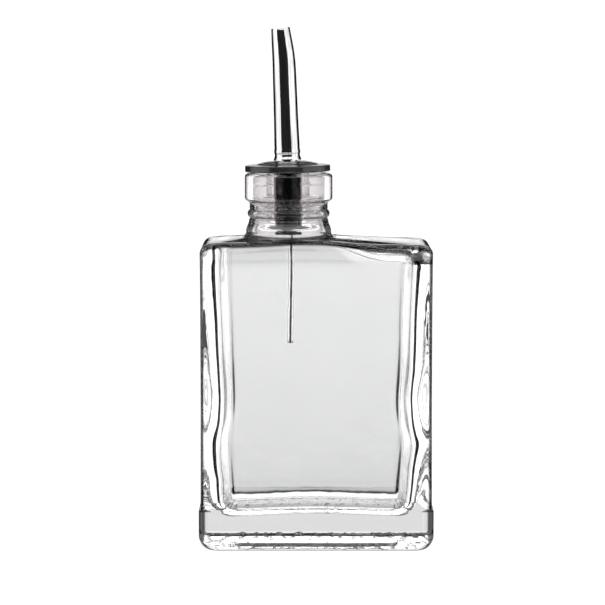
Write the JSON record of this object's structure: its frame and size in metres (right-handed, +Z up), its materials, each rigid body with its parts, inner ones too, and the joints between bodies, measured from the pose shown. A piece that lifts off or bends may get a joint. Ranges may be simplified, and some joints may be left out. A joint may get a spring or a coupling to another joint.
{
  "type": "oil bottle",
  "caption": "Heavy rectangular clear glass bottle with a thick foot, an off-centre ringed neck and a steel pourer on a black flange.",
  "frame": {"origin": "on the table, under the middle of the bottle's base", "axes": "+X to the right seen from the front, away from the neck's side; +Y to the back; +Z up"},
  "size_m": [0.0754, 0.0516, 0.1668],
  "materials": {
    "clear_glass": "clear, thick, slightly grey glass with soft waves inside",
    "black_plastic": "glossy black",
    "pale_seal": "translucent, slightly frosted",
    "polished_steel": "polished stainless steel with faint drawn lines"
  },
  "bodies": {
    "root": {"bottle": "clear_glass", "stopper": "black_plastic", "seal_sleeve": "pale_seal", "spout": "polished_steel", "breather_tube": "polished_steel"}
  },
  "joints": []
}
